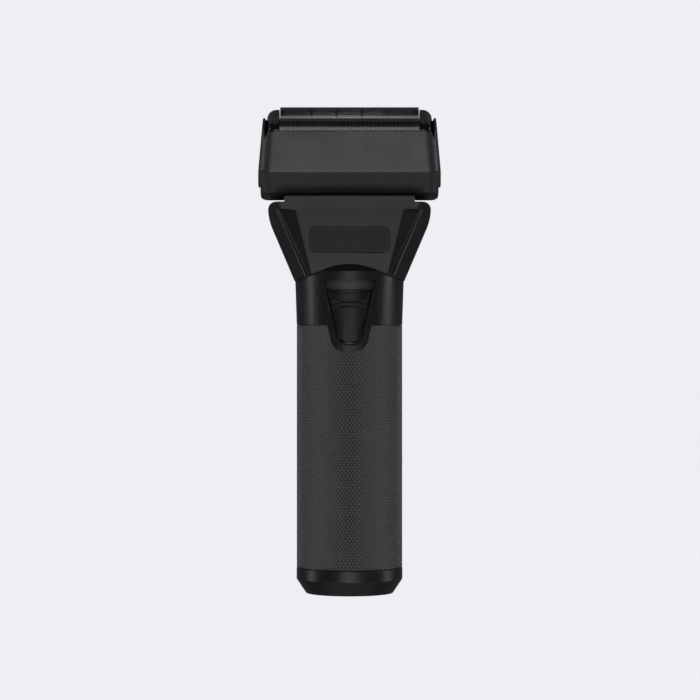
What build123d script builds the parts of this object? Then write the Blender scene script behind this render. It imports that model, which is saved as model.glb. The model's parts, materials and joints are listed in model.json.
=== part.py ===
from build123d import *
import os
from math import cos, radians, sin, sqrt

# Cordless two-foil shaver standing on its base, in millimetres, +Z up, front towards -Y.
# The origin is the middle of the base's underside, on the axis of the round grip.

# ---- clearances ----
seam = 0.1              # gap drawn between fitted casings
slide_gap = 0.2         # gap round a piece that slides
rotor_gap = 0.05        # radial gap of a shaft in its bush
screw_gap = 0.15        # radial gap of a screw's head in its counterbore

# ---- screws, all of one size ----
screw_radius = 0.9
screw_head_radius = 1.7
screw_head_height = 1.4
socket_share = 0.8      # radius of the driver's socket against the shank's

# ---- grip ----
grip_radius = 18.0
sleeve_wall = 1.6
sleeve_bottom = 8.9
sleeve_top = 91.3
chassis_wall = 1.3
chassis_radius = grip_radius - sleeve_wall - seam
bay_radius = chassis_radius - chassis_wall

# ---- battery pack ----
pack_gap = 0.4          # gap round the pack in its bay
case_radius = bay_radius - pack_gap
case_wall = 1.4
case_top = 77.0
rib_depth = 2.6         # from the case's wall to the cell
cell_radius = case_radius - case_wall - rib_depth
cell_length = 70.0
cell_lift = 4.2         # thickness of the case's floor under the cell
rib_thickness = 1.2
board_thickness = 1.0
lid_height = 2.6
terminal_radius = 1.6
terminal_height = 0.6
terminal_spacing = 6.0

# ---- base cap ----
cap_radius = grip_radius + 0.05
cap_chamfer = 3.25
cap_foot_radius = cap_radius - cap_chamfer
cap_chamfer_top = 4.9
cap_floor = 1.8
contact_x = 5.0
contact_radius = 1.8
contact_depth = 0.9
base_screw_y = 8.5
base_screw_seat = 1.0
base_screw_tip = 5.6

# ---- catch that holds the pack, at the back of the base cap ----
catch_width = 8.0
catch_height = 2.7
catch_thickness = 1.6
catch_bottom = 5.5
catch_pocket_gap = 0.05
hook_half_width = 2.5
hook_thickness = 0.6
hook_gap = 0.15         # from the chassis's outside to the hook
hook_lap = 1.6          # how far the hook reaches up inside the chassis
hook_top = sleeve_bottom + hook_lap

# ---- chassis inside the sleeve ----
collar_top = 150.0      # the neck's blank is cut down to the head's seat from here
contact_height = 0.8    # free height of the sprung contacts over the pack's terminals
contact_pin_radius = 0.85
contact_y = 0.6         # clear of the chassis's parting plane
bulkhead_bottom = case_top + lid_height + terminal_height + contact_height
bulkhead_thickness = 2.0
chassis_top = 114.0
flat_bottom = 106.5     # above this the chassis is flat at front and back
flat_wall = 1.3
boss_radius = 2.3
boss_x = bay_radius - 2.8
boss_z = 86.5
boss_half_length = 9.0
chassis_screw_seat = 6.9
chassis_screw_tip = -5.0

# ---- neck ----
neck_foot_radius = grip_radius
neck_waist_radius = grip_radius + 0.6
waist_z = 109.2
flare_root_x = 10.4     # where the flare's lower edge leaves the waist
flare_corner_x = neck_waist_radius + 0.1
flare_corner_z = 106.3
flank_top_z = 123.7
brow_z = 129.4
brow_swell = 1.4        # how far the shoulder stands out past the flank
shoulder_z = 132.6
shoulder_round = 2.4
neck_half_width = 27.5
neck_wall = 1.8
panel_set_in = 3.2
panel_lean_out = 1.1
panel_foot_y = neck_waist_radius - panel_set_in     # from the axis to the panels, at the waist
panel_top_y = panel_foot_y + panel_lean_out
panel_top_z = 129.3
collar_front_y = panel_top_y - 0.6  # front of the collar's top edge, just under the head
collar_front_z = 134.6
facet_top_z = 130.0     # the corner facets stop here, under the collar
back_brow_z = 126.0
collar_half_width = 21.9
neck_boss_radius = 2.4
neck_boss_x = 18.6
neck_boss_z = 121.0
neck_boss_end = panel_foot_y - 3.9
neck_screw_seat = neck_boss_end - 1.0
neck_screw_tip = -7.0
flat_y = panel_foot_y - neck_wall - seam

# ---- badge plate, left plain ----
badge_width = 27.2
badge_height = 8.5
badge_z = 119.9
badge_depth = 0.7
badge_corner = 2.0
badge_rim = 1.0         # width of the step round the edge
badge_line = 0.5        # width of the line inside the step
badge_step = 0.3
badge_gap = 0.2         # dark line all round the plate

# ---- tongue, switch recess and slider ----
tongue_radius = grip_radius + 0.3
recess_top_z = 106.4
recess_bottom_z = 84.3
recess_half_width = 9.0
recess_slope = 0.235    # half width lost for each unit of height
recess_corner = 3.0
tongue_margin = 2.0
slider_travel = 3.3
slider_inner_radius = chassis_radius + 0.3
slider_corner = 2.8
slider_side_gap = 0.3
slider_bevel = 1.0
slider_bevel_depth = 0.6
slider_groove_depth = 0.7
slider_grooves = (98.9, 97.4)
groove_width = 0.5
stem_half_width = 2.4
stem_bottom = 95.0
stem_top = 99.0

# ---- switch and circuit board ----
carriage_front_y = -(bay_radius - 0.6)
carriage_back_y = carriage_front_y + 1.0
carriage_half_width = 4.0
carriage_bottom = 92.5
carriage_top = 101.5
lever_half_width = 1.0
lever_half_height = 0.9
lever_z = 97.0
switch_half_width = 3.4
switch_depth = 1.5
switch_margin = 2.6     # switch body over and under the lever's travel
board_front_y = -(bay_radius - 3.6)
board_half_width = 8.6
board_bottom = 84.5
board_top = 112.5
board_hole_x = 6.4
board_hole_z = 110.2

# ---- head, in its own tilted frame: x along the foils, v to the back, w up ----
head_tilt = 22.0
head_y = 1.0
head_z = 134.0
seat_w = 5.8            # underside of the head's floor
floor_thickness = 2.0
gasket_thickness = 0.5
gasket_half_opening = 15.2
edge_w = 6.9            # lower edge of the front and back faces
belly_w = 0.8           # lowest line of the rounded ends
belly_corner = 5.0
part_w = 14.9           # parting line of the lift-off frame
rim_w = 28.2
rim_back_w = 24.6
rim_crest = 0.7         # how far the rim's middle stands over its front
frame_blank_w = 29.4
head_corner = 4.5
lip_height = 2.4
lip_thickness = 1.1
lip_gap = 0.15
ledge_w = 17.5
ledge_thickness = 1.0
lug_bottom_w = 9.5
lug_half_depth = 3.0
lug_gap = 0.7
lug_thickness = 1.1
post_slot_gap = 0.4
head_boss_radius = 2.3
head_screw_tip = -2.0

# ---- foils and cutters ----
foil_pitch = 13.0
foil_radius = 4.3
foil_sheet = 0.25
foil_centre_w = 26.57
foil_skirt_w = 21.0
foil_half_length = 23.5
carrier_length = 1.2
foil_travel = 1.2
throw = 1.2             # eccentricity, and half the cutters' stroke
cutter_gap = 0.1
cutter_end_gap = 0.3
cutter_half_length = foil_half_length - carrier_length - throw - cutter_end_gap
blade_thickness = 0.35
blade_pitch = 1.3
blade_foot_half_depth = 3.2
blade_hole_radius = 1.8
holder_bottom_w = 19.5
holder_top_w = 24.5
holder_half_depth = 3.3

# ---- the head's lengths and depths, out from the foils ----
cheek_inner_x = foil_half_length + 0.3
cheek_thickness = 4.2
cheek_outer_x = cheek_inner_x + cheek_thickness
cheek_gap = 0.4
frame_cavity_x = cheek_outer_x + cheek_gap
rim_half_width = frame_cavity_x + 0.8
part_half_width = rim_half_width + 1.4
edge_half_width = part_half_width - 0.5
ledge_inner_x = foil_half_length - carrier_length
frame_cavity_v = foil_pitch / 2 + foil_radius + 0.15
rim_half_depth = frame_cavity_v + 0.65
part_half_depth = frame_cavity_v + 4.05
edge_half_depth = part_half_depth - 2.5
head_cavity_v = frame_cavity_v - 0.35
cheek_half_depth = frame_cavity_v - 0.35
cheek_top_w = 30.0
cheek_round = 4.2
cheek_edge_round = 3.2
bar_half_depth = foil_pitch / 2 - foil_radius - 0.5
bar_top_w = 28.0
bar_chamfer = 0.6

# ---- release buttons on the head's ends ----
button_depth = 13.0     # along v
button_height = 6.4     # along w
button_w = 9.2
button_thickness = 2.6
button_proud = 0.3
button_travel = 1.2
button_gap = 0.15
button_corner = 2.5
button_groove_pitch = 1.5
spring_room = 0.5
spring_wall = 0.8       # wall behind the springs
head_cavity_x = part_half_width - button_thickness - button_travel - spring_room - spring_wall

# ---- motor ----
motor_y = 1.0
motor_radius = 10.0
motor_length = 23.6
can_wall = 0.8
end_cap_height = 2.4
bush_radius = 2.5
can_top = chassis_top
can_bottom = can_top - motor_length + end_cap_height
shaft_radius = 1.0
core_radius = 6.6
core_margin = 4.0       # from the can's top to the core, and a little more from its foot
arm_half_width = 1.2
magnet_thickness = 2.0
magnet_half_gap = 4.6
mount_thickness = 2.5
mount_screw_depth = 1.1
mount_screw_x = bay_radius - 1.4
mount_screw_y = 3.0
motor_screw_x = 6.5

# ---- drive ----
cam_radius = 3.0
cam_height = 2.8
cam_gap = 0.15
hub_radius = 2.2
deck_bottom = 118.6
deck_thickness = 1.6
deck_half_width = 11.9
deck_leg_x = 8.5
deck_leg_y = 9.5
cam_bottom = deck_bottom + deck_thickness + 1.2
bridge_thickness = 2.4
bridge_step = 3.6       # height from the front bridge to the back one
bridge_half_width = 7.6
slot_half = cam_radius + throw + cam_gap
front_rod_y = -9.0
back_rod_y = foil_pitch / 2 + 5.1       # under the back post, which leans with the head
rod_radius = 0.75
rod_half_length = 12.0
ear_thickness = 1.5
front_bridge_bottom = cam_bottom + (cam_height - bridge_thickness) / 2
back_bridge_bottom = front_bridge_bottom + bridge_step
shelf_bottom = back_bridge_bottom + bridge_thickness + 1.7
shelf_thickness = 1.8
shelf_half_width = 3.5
shelf_back_y = -2.4
rod_z = {"front": front_bridge_bottom + bridge_thickness / 2, "back": back_bridge_bottom + bridge_thickness / 2}
back_brow_y = back_rod_y + 4.4
post_radius = 1.6
post_top_w = 21.6
post_collar_w = 12.6
post_collar_height = 0.8

head_place = Location(Plane((0, head_y, head_z), x_dir=(1, 0, 0),
                            z_dir=(0, -sin(radians(head_tilt)), cos(radians(head_tilt)))))


# ---- small helpers ----
def cylinder(radius, bottom, top, x=0, y=0):
    return Pos(x, y, bottom) * Cylinder(radius, top - bottom, align=(Align.CENTER, Align.CENTER, Align.MIN))


def ring(outer, inner, bottom, top, x=0, y=0):
    return cylinder(outer, bottom, top, x, y) - cylinder(inner, bottom - 1, top + 1, x, y)


def block(low, high):
    size = [b - a for a, b in zip(low, high)]
    middle = [(a + b) / 2 for a, b in zip(low, high)]
    return Pos(*middle) * Box(*size)


def rod_along_y(radius, x, z, start, end):
    return Pos(x, start, z) * Rot(-90, 0, 0) * Cylinder(radius, end - start,
                                                        align=(Align.CENTER, Align.CENTER, Align.MIN))


def rod_along_x(radius, y, z, start, end):
    return Pos(start, y, z) * Rot(0, 90, 0) * Cylinder(radius, end - start,
                                                       align=(Align.CENTER, Align.CENTER, Align.MIN))


def prism_x(points, half_length):
    """Extrude an outline of (y, z) points along X, both ways."""
    return extrude(Plane.YZ * make_face(Polyline(*points, close=True)), half_length, both=True)


def group(pieces):
    return Compound(children=list(pieces))


def front_half(piece):
    return piece & block((-60, -60, -10), (60, 0, 200))


def back_half(piece):
    return piece & block((-60, 0, -10), (60, 60, 200))


def screw_along_y(x, z, head_y_face, tip_y):
    """A screw put in from the back: its head's seat is at head_y_face."""
    shank = rod_along_y(screw_radius, x, z, tip_y, head_y_face)
    head = rod_along_y(screw_head_radius, x, z, head_y_face, head_y_face + screw_head_height)
    socket = rod_along_y(screw_radius * socket_share, x, z, head_y_face + screw_head_height / 2,
                         head_y_face + screw_head_height + 1)
    return shank + head - socket


# ---- base cap and battery pack ----
catch_inner_y = cap_radius - catch_thickness


def catch_opening():
    half = catch_width / 2 + slide_gap
    floor = case_radius + catch_pocket_gap
    pocket = block((-half, floor, catch_bottom - slide_gap),
                   (half, cap_radius + 2, catch_bottom + catch_height + slide_gap))
    return pocket + block((-hook_half_width - 0.3, floor, catch_bottom + 1),
                          (hook_half_width + 0.3, chassis_radius, sleeve_bottom + 1))


def make_base_cap():
    outline = Polyline((0, 0), (cap_foot_radius, 0), (cap_radius, cap_chamfer_top),
                       (cap_radius, sleeve_bottom - seam), (case_radius + seam, sleeve_bottom - seam),
                       (case_radius + seam, cap_floor), (0, cap_floor), close=True)
    cap = revolve(Plane.XZ * make_face(outline), Axis.Z)
    rims = cap.edges().filter_by(GeomType.CIRCLE)
    foot = rims.filter_by(lambda e: abs(e.center().Z) < 0.01 or abs(e.center().Z - cap_chamfer_top) < 0.01)
    cap = fillet(foot, 0.7)
    top_rim = cap.edges().filter_by(GeomType.CIRCLE).filter_by(
        lambda e: e.center().Z > sleeve_bottom - 2 * seam and e.radius > cap_radius - 0.5)
    cap = fillet(top_rim, 0.3)
    for x in (-contact_x, contact_x):
        cap -= cylinder(contact_radius + 0.02, -1, contact_depth, x, 0)
    for y in (-base_screw_y, base_screw_y):
        cap -= cylinder(screw_radius + 0.1, -1, cap_floor + 1, 0, y)
        cap -= cylinder(screw_head_radius + screw_gap, -1, base_screw_seat, 0, y)
    return cap - catch_opening()


def make_charging_contacts():
    return group(cylinder(contact_radius, 0.15, contact_depth, x, 0) for x in (-contact_x, contact_x))


def make_base_screws():
    screws = []
    for y in (-base_screw_y, base_screw_y):
        screw = cylinder(screw_head_radius, 0.3, base_screw_seat, 0, y)
        screw += cylinder(screw_radius, base_screw_seat, base_screw_tip, 0, y)
        screws.append(screw - cylinder(screw_radius * socket_share, 0, 0.7, 0, y))
    return group(screws)


case_bottom = cap_floor
cell_bottom = case_bottom + cell_lift


def make_battery_case():
    case = cylinder(case_radius, case_bottom, case_top)
    case -= cylinder(case_radius - case_wall, cell_bottom, case_top + 1)
    for angle in range(0, 360, 60):
        rib = block((cell_radius + seam, -rib_thickness / 2, cell_bottom),
                    (case_radius - case_wall / 2, rib_thickness / 2, case_top - 4))
        case += Rot(0, 0, angle) * rib
    for y in (-base_screw_y, base_screw_y):
        case -= cylinder(screw_radius, case_bottom - 1, base_screw_tip, 0, y)
    return case


def make_battery_cell():
    cell = cylinder(cell_radius, cell_bottom, cell_bottom + cell_length)
    cell = chamfer(cell.edges().filter_by(GeomType.CIRCLE), 0.5)
    top = cell_bottom + cell_length
    groove = ring(cell_radius + 1, cell_radius - 0.4, top - 3.4, top - 2.6)
    return cell - groove


def make_protection_board():
    bottom = case_top - board_thickness
    board = cylinder(case_radius - case_wall - seam, bottom, case_top)
    return board - cylinder(1.2, bottom - 1, case_top + 1, 8, 8)


def make_battery_lid():
    lid = cylinder(case_radius, case_top, case_top + lid_height)
    return fillet(lid.edges().filter_by(GeomType.CIRCLE).sort_by(Axis.Z)[-1], 0.8)


def make_battery_terminals():
    top = case_top + lid_height
    return group(cylinder(terminal_radius, top, top + terminal_height, x, 0)
                 for x in (-terminal_spacing, 0, terminal_spacing))


def make_catch_button():
    band = ring(cap_radius - catch_pocket_gap, catch_inner_y, catch_bottom, catch_bottom + catch_height)
    half = catch_width / 2
    button = band & block((-half, 10, 0), (half, 40, 20))
    for i in range(3):
        z = catch_bottom + catch_height * (i + 1) / 4
        button -= ring(cap_radius + 1, cap_radius - 0.35, z - 0.15, z + 0.15)
    hook_outer_y = chassis_radius - hook_gap
    hook_inner_y = hook_outer_y - hook_thickness
    hook = block((-hook_half_width, hook_inner_y, catch_bottom + catch_height - 1),
                 (hook_half_width, hook_outer_y, hook_top))
    bridge = block((-hook_half_width, hook_inner_y, catch_bottom + catch_height - 1),
                   (hook_half_width, catch_inner_y + 0.4, catch_bottom + catch_height))
    return button + hook + bridge


def make_catch_spring():
    inner = case_radius + 0.1
    return block((-3, inner, catch_bottom + 0.3), (3, inner + 0.4, catch_bottom + 1.2))


# ---- switch recess outlines, seen from the front ----
def recess_outline(margin, top_z, corner):
    """The V-shaped outline, grown outwards by margin, cut level at top_z."""
    side = sqrt(1 + recess_slope ** 2)
    bottom = recess_bottom_z - margin

    def half_at(z):
        return recess_half_width - (recess_top_z - z) * recess_slope + margin * side

    outline = Polyline((-half_at(top_z), top_z), (-half_at(bottom), bottom), (half_at(bottom), bottom),
                       (half_at(top_z), top_z), close=True)
    face = make_face(outline)
    return fillet(face.vertices().sort_by(Axis.Y)[:2], corner)


def front_prism(face, inner, outer):
    """Push an outline seen from the front through the ring between two radii, on the front only."""
    solid = extrude(Plane.XZ * face, 60)
    zone = ring(outer, inner, 70, 130)
    return solid & zone & block((-60, -60, 60), (60, 0, 140))


# ---- grip sleeve ----
def make_grip_sleeve():
    sleeve = ring(grip_radius, grip_radius - sleeve_wall, sleeve_bottom, sleeve_top - seam)
    rims = sleeve.edges().filter_by(GeomType.CIRCLE).filter_by(lambda e: e.radius > grip_radius - 0.1)
    sleeve = chamfer(rims, 0.25)
    notch = recess_outline(tongue_margin + seam, sleeve_top + 5, recess_corner + tongue_margin)
    return sleeve - front_prism(notch, 10, grip_radius + 9)


# ---- chassis ----
def make_chassis():
    body = ring(chassis_radius, bay_radius, sleeve_bottom + 0.1, chassis_top)
    body += cylinder(chassis_radius - 0.5, bulkhead_bottom, bulkhead_bottom + bulkhead_thickness)
    for x in (-boss_x, boss_x):
        boss = rod_along_y(boss_radius, x, boss_z, -boss_half_length, boss_half_length)
        body += boss & cylinder(chassis_radius, 70, 110)
    for x in (-mount_screw_x, mount_screw_x):
        body += cylinder(1.6, chassis_top - 9, chassis_top, x, mount_screw_y)
        body -= cylinder(screw_radius, chassis_top - 6, chassis_top + 1, x, mount_screw_y)
    # way for the slider's stem, and the notch that the battery catch hooks into
    body -= block((-stem_half_width - slide_gap, -chassis_radius - 1, stem_bottom - 0.3),
                  (stem_half_width + slide_gap, -10, stem_top + slider_travel + 0.3))
    body -= block((-hook_half_width - 0.4, 10, 0), (hook_half_width + 0.4, chassis_radius + 1, hook_top + 0.4))
    for x in (-terminal_spacing, 0, terminal_spacing):
        body -= cylinder(contact_pin_radius + rotor_gap, bulkhead_bottom - 1,
                         bulkhead_bottom + bulkhead_thickness + 1, x, contact_y)
    body -= beyond_flats(flat_y)
    body += (chassis_flats() - cylinder(bay_radius - 3, 60, 140)) & ring(chassis_radius, 9, 60, chassis_top)
    for x in (-boss_x, boss_x):
        body -= rod_along_y(screw_radius, x, boss_z, chassis_screw_tip - 1, chassis_radius + 1)
        body -= rod_along_y(screw_head_radius + screw_gap, x, boss_z, chassis_screw_seat, chassis_radius + 1)
    return body


def beyond_flats(y):
    """What lies outside the two flats, over the waist."""
    return block((-40, y, flat_bottom), (40, 60, 150)) + block((-40, -60, flat_bottom), (40, -y, 150))


def chassis_flats():
    """The walls that close the chassis behind its two flats."""
    inner = flat_y - flat_wall
    wall = block((-40, inner, flat_bottom - flat_wall), (40, flat_y, chassis_top))
    return wall + block((-40, -flat_y, flat_bottom - flat_wall), (40, -inner, chassis_top))


def make_chassis_screws():
    return group(screw_along_y(x, boss_z, chassis_screw_seat, chassis_screw_tip) for x in (-boss_x, boss_x))


def make_bay_contacts():
    """Sprung contact pins that stand in the bulkhead and meet the pack's terminals."""
    low = case_top + lid_height + terminal_height
    pins = []
    for x in (-terminal_spacing, 0, terminal_spacing):
        pins.append(cylinder(contact_pin_radius, low, bulkhead_bottom + bulkhead_thickness + 0.8, x, contact_y))
    return group(pins)


# ---- neck shells ----
def neck_front_outline(inset):
    """The neck's flare seen from the front: straight flanks, rounded shoulders and the collar."""
    width = neck_half_width - inset
    top = shoulder_z - inset
    collar = collar_half_width - inset
    root = (flare_root_x, waist_z + inset)
    corner = (flare_corner_x - inset, flare_corner_z + inset)
    flank_top = (width - brow_swell, flank_top_z)
    brow = (width, brow_z)
    shoulder = (width, shoulder_z - shoulder_round)
    shoulder_top = (neck_half_width - shoulder_round, top)
    middle = (shoulder_top[0] + (shoulder_round - inset) * sqrt(0.5), shoulder[1] + (shoulder_round - inset) * sqrt(0.5))
    rise = (neck_half_width - brow_swell - flare_corner_x, flank_top_z - flare_corner_z)
    right = [Line((0, waist_z + inset), root),
             Line(root, corner),
             Line(corner, flank_top),
             TangentArc(flank_top, brow, tangent=rise),
             Line(brow, shoulder),
             ThreePointArc(shoulder, middle, shoulder_top),
             Line(shoulder_top, (collar, top)),
             Line((collar, top), (collar, collar_top)),
             Line((collar, collar_top), (0, collar_top)),
             Line((0, collar_top), (0, waist_z + inset))]
    return make_face(right)


def neck_side_outline(inset):
    """The neck seen from its side: front panel, brow band, tilted seat and back panel."""
    seat = seat_w - gasket_thickness
    front_top = head_point(-edge_half_depth + 0.5, seat)
    back_top = head_point(edge_half_depth - 0.5, seat)
    return [(-panel_foot_y + inset, 100), (-panel_foot_y + inset, waist_z),
            (-panel_top_y + inset, panel_top_z), (-collar_front_y + inset, collar_front_z - inset),
            (front_top[0] + inset, front_top[1]), (back_top[0] - inset, back_top[1]),
            (back_brow_y - inset, back_brow_z), (panel_foot_y - inset, waist_z), (panel_foot_y - inset, 100)]


def head_point(v, w):
    """World (y, z) of a point of the head's frame."""
    tilt = radians(head_tilt)
    return (head_y + v * cos(tilt) - w * sin(tilt), head_z + v * sin(tilt) + w * cos(tilt))


def corner_cutter(points, inset):
    """A slab that takes off everything outside the plane through three points."""
    first, second, third = (Vector(*p) for p in points)
    normal = (second - first).cross(third - first).normalized()
    if normal.dot(Vector(first.X, first.Y, 0)) < 0:
        normal = normal * -1
    plane = Plane(origin=first - normal * inset, z_dir=normal)
    return Location(plane) * Box(120, 120, 30, align=(Align.CENTER, Align.CENTER, Align.MIN))


def neck_block(inset):
    outline = neck_front_outline(inset)
    flare = extrude(Plane.XZ * outline, 40, both=True)
    flare += mirror(flare, Plane.YZ)
    flare = flare & prism_x(neck_side_outline(inset), 40)
    for sx in (-1, 1):
        for sy, back in ((-1, 0.0), (1, -0.5)):
            ridge = (sx * 23.3, sy * (panel_top_y - 3.3), 127)
            facet = [(sx * 17.2, sy * (panel_top_y + back), 127), ridge,
                     (sx * 13.3, sy * (panel_foot_y + 0.1), 110.5)]
            flank = [ridge, (sx * 15.4, sy * (panel_foot_y - 1.1), 110.2),
                     (sx * (neck_half_width - 0.1), sy * (panel_top_y - 10), 127)]
            under_collar = block((-60, -60, 90), (60, 60, facet_top_z + inset))
            flare -= corner_cutter(facet, inset) & under_collar
            flare -= corner_cutter(flank, inset)
    return flare


def neck_column():
    cone_top = waist_z + (neck_waist_radius - panel_foot_y) * 0.81
    outline = Polyline((0, sleeve_top), (neck_foot_radius, sleeve_top), (neck_waist_radius, waist_z),
                       (panel_foot_y, cone_top), (0, cone_top), close=True)
    return revolve(Plane.XZ * make_face(outline), Axis.Z)


def head_box(low, high):
    return head_place * block(low, high)


def head_boss_places():
    boss_in = collar_half_width - neck_wall - head_boss_radius + 0.2
    return [(x, v) for x in (-boss_in, boss_in) for v in (-6.0, 6.5)]


def make_neck():
    outer = neck_block(0) + neck_column()
    bore = chassis_radius + seam
    hollow = cylinder(bore, sleeve_top - 1, chassis_top + mount_thickness + 0.2) - beyond_flats(flat_y + seam)
    hollow += neck_block(neck_wall)
    mouth_x = collar_half_width - neck_wall
    mouth_v = edge_half_depth - 2.4
    mouth = head_box((-mouth_x, -mouth_v, -2), (mouth_x, mouth_v, seat_w))
    neck = outer - hollow - mouth
    # bosses for the two shells' screws and for the head's screws
    for x in (-neck_boss_x, neck_boss_x):
        neck += rod_along_y(neck_boss_radius, x, neck_boss_z, -neck_boss_end, neck_boss_end)
    for x, v in head_boss_places():
        neck += head_place * cylinder(head_boss_radius, -3.5, seat_w - gasket_thickness, x, v)
    tongue_face = recess_outline(tongue_margin, sleeve_top + 2, recess_corner + tongue_margin)
    neck += front_prism(tongue_face, bore, tongue_radius)
    recess_face = recess_outline(0, recess_top_z, recess_corner)
    neck -= front_prism(recess_face, 10, grip_radius + 9)
    badge = RectangleRounded(badge_width + 2 * badge_gap, badge_height + 2 * badge_gap, badge_corner + badge_gap)
    neck -= badge_place * extrude(badge, badge_depth, both=True)
    for x in (-neck_boss_x, neck_boss_x):
        neck -= rod_along_y(screw_radius, x, neck_boss_z, neck_screw_tip - 1, 30)
        neck -= rod_along_y(screw_head_radius + screw_gap, x, neck_boss_z, neck_screw_seat, 30)
    for x, v in head_boss_places():
        neck -= head_place * cylinder(screw_radius, head_screw_tip - 0.5, seat_w + 1, x, v)
    return neck


panel_lean = (panel_top_y - panel_foot_y) / (panel_top_z - waist_z)
badge_y = -(panel_foot_y + (badge_z - waist_z) * panel_lean)
badge_place = Location(Plane((0, badge_y, badge_z), x_dir=(1, 0, 0), z_dir=(0, -1, -panel_lean)))


def badge_outline(inset):
    return RectangleRounded(badge_width - 2 * inset, badge_height - 2 * inset, badge_corner - 0.8 * inset)


def make_badge_plate():
    """A blank plate with a fine line set in from its edge."""
    plate = extrude(badge_outline(0), badge_depth - 0.05, dir=(0, 0, -1))
    line = badge_outline(badge_rim) - badge_outline(badge_rim + badge_line)
    return badge_place * (plate - extrude(line, -badge_step))


def make_neck_screws():
    places = (-neck_boss_x, neck_boss_x)
    return group(screw_along_y(x, neck_boss_z, neck_screw_seat, neck_screw_tip) for x in places)


# ---- power slider ----
def make_switch_slider():
    top = recess_top_z - slider_travel - 0.25
    face = recess_outline(-slider_side_gap, top, slider_corner)
    slider = front_prism(face, slider_inner_radius, tongue_radius - 0.1)
    flat_face = recess_outline(-slider_side_gap - slider_bevel, top - slider_bevel,
                               slider_corner - slider_bevel_depth)
    rim = front_prism(face, slider_inner_radius + 1.0, tongue_radius)
    rim -= front_prism(flat_face, 10, tongue_radius + 9)
    slider -= rim & ring(tongue_radius + 9, tongue_radius - slider_bevel_depth, 70, 120)
    for z in slider_grooves:
        groove = block((-7, -tongue_radius - 1, z - groove_width / 2),
                       (7, -tongue_radius + 1.0, z + groove_width / 2))
        slider -= groove & ring(tongue_radius + 9, tongue_radius - slider_groove_depth, 90, 105)
    stem = block((-stem_half_width, -slider_inner_radius - 0.2, stem_bottom),
                 (stem_half_width, carriage_front_y, stem_top))
    return slider + (stem & cylinder(slider_inner_radius + 0.3, 80, 110))


def make_switch_carriage():
    """The plate behind the chassis wall that the slider's stem is fixed to; its fork drives the lever."""
    plate = block((-carriage_half_width, carriage_front_y, carriage_bottom),
                  (carriage_half_width, carriage_back_y, carriage_top))
    fork = block((-lever_half_width, carriage_front_y - 1, lever_z - lever_half_height),
                 (lever_half_width, carriage_back_y + 1, lever_z + lever_half_height))
    return plate - fork


def make_switch_lever():
    return block((-lever_half_width, carriage_front_y + 0.3, lever_z - lever_half_height),
                 (lever_half_width, board_front_y - switch_depth + 0.2, lever_z + lever_half_height))


def make_circuit_board():
    board = block((-board_half_width, board_front_y, board_bottom),
                  (board_half_width, board_front_y + board_thickness, board_top))
    board = fillet(board.edges().filter_by(Axis.Y), 1.0)
    for x in (-board_hole_x, board_hole_x):
        board -= rod_along_y(1.1, x, board_hole_z, board_front_y - 1, board_front_y + board_thickness + 1)
    return board


def make_slide_switch():
    top = lever_z + slider_travel + switch_margin
    body = block((-switch_half_width, board_front_y - switch_depth, lever_z - switch_margin),
                 (switch_half_width, board_front_y, top))
    reach = lever_half_height + slide_gap
    side = lever_half_width + slide_gap
    mouth = board_front_y - switch_depth
    slot = block((-side, mouth - 1, lever_z - reach), (side, mouth + 0.3, lever_z + slider_travel + reach))
    return body - slot


def make_board_components():
    front = board_front_y
    back = board_front_y + board_thickness
    parts = [block((-6.5, front - 1.1, 86.0), (-2.0, front, 90.5)),
             block((1.5, front - 0.9, 86.0), (6.0, front, 89.0)),
             block((5.2, front - 0.8, 92), (7.4, front, 96)),
             block((-7.4, front - 0.8, 92), (-5.2, front, 96)),
             block((-6.4, front - 0.7, 103), (-4.6, front, 107)),
             block((4.6, front - 0.7, 103), (6.4, front, 107)),
             block((-3, back, 85.2), (3, back + 1.0, 88.0))]
    return group(parts)


# ---- motor ----
def make_motor_can():
    can = cylinder(motor_radius, can_bottom, can_top, 0, motor_y)
    can -= cylinder(motor_radius - can_wall, can_bottom - 1, can_top - 1.0, 0, motor_y)
    can -= cylinder(bush_radius, can_bottom, can_top + 1, 0, motor_y)
    for x in (-motor_screw_x, motor_screw_x):
        can -= cylinder(screw_radius, can_top - 2, can_top + 1, x, motor_y)
    return can


def make_motor_end_cap():
    low = can_bottom - end_cap_height
    cap = cylinder(motor_radius, low, can_bottom, 0, motor_y)
    cap += cylinder(motor_radius - can_wall - seam, can_bottom, can_bottom + 1.2, 0, motor_y)
    cap -= cylinder(bush_radius, low + 0.6, can_bottom + 3, 0, motor_y)
    return cap - cylinder(shaft_radius + 0.3, low - 1, can_bottom, 0, motor_y)


def make_motor_bushings():
    """One plain bush in the can's face and one in the end cap."""
    upper = ring(bush_radius, shaft_radius + rotor_gap, can_top - 1.0, can_top + 1.2, 0, motor_y)
    low = can_bottom - end_cap_height + 0.6
    lower = ring(bush_radius, shaft_radius + rotor_gap, low, low + 2.2, 0, motor_y)
    return group([upper, lower])


def make_motor_magnets():
    outer = motor_radius - can_wall - 0.02
    tube = ring(outer, outer - magnet_thickness, can_bottom + 3.4, can_top - 3, 0, motor_y)
    arcs = tube - block((-20, motor_y - magnet_half_gap, 60), (20, motor_y + magnet_half_gap, 140))
    return group(arcs.solids())


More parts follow.
